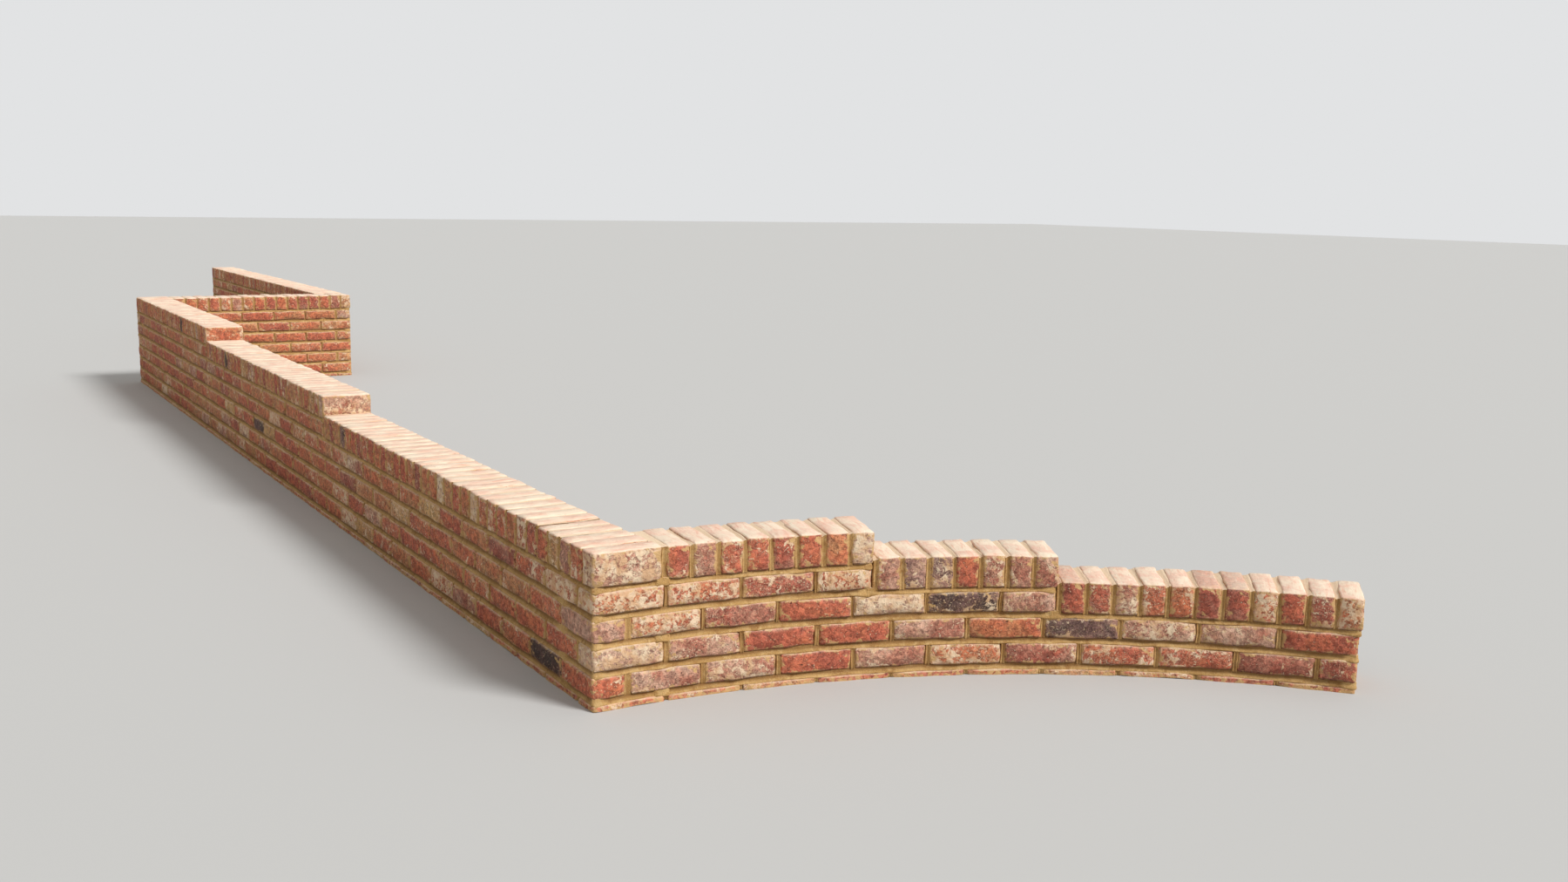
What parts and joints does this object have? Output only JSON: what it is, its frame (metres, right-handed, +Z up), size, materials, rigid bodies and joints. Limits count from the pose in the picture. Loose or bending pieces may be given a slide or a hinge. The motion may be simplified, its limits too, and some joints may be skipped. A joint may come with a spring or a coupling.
{
  "type": "stepped brick garden wall",
  "caption": "Low brick garden wall, one brick thick, in courses with a brick-on-edge coping that steps down in bays, a curved wing at its corner and a return at its far end.",
  "frame": {"origin": "at ground level, where the centre lines of the long wall and the curved wall meet", "axes": "+Y along the long wall towards its far end, +X along the start of the curved wall, +Z up"},
  "size_m": [2.1973, 12.6694, 0.6215],
  "materials": {
    "facing_brick": "matte",
    "coping_brick": "matte",
    "mortar": "matte"
  },
  "bodies": {
    "root": {"long_base_course": "facing_brick", "curved_base_course": "facing_brick", "return_base_course": "facing_brick", "back_base_course": "facing_brick", "long_course_1": "facing_brick", "long_course_2": "facing_brick", "long_course_3": "facing_brick", "long_course_4": "facing_brick", "long_course_5": "facing_brick", "long_course_6": "facing_brick", "curved_course_1": "facing_brick", "curved_course_2": "facing_brick", "curved_course_3": "facing_brick", "curved_course_4": "facing_brick", "return_course_1": "facing_brick", "return_course_2": "facing_brick", "return_course_3": "facing_brick", "return_course_4": "facing_brick", "return_course_5": "facing_brick", "return_course_6": "facing_brick", "back_course_1": "facing_brick", "back_course_2": "facing_brick", "back_course_3": "facing_brick", "back_course_4": "facing_brick", "back_course_5": "facing_brick", "back_course_6": "facing_brick", "long_near_coping": "coping_brick", "long_middle_coping": "coping_brick", "long_far_coping": "coping_brick", "curved_high_coping": "coping_brick", "curved_middle_coping": "coping_brick", "curved_low_coping": "coping_brick", "return_coping": "coping_brick", "back_coping": "coping_brick"}
  },
  "joints": []
}
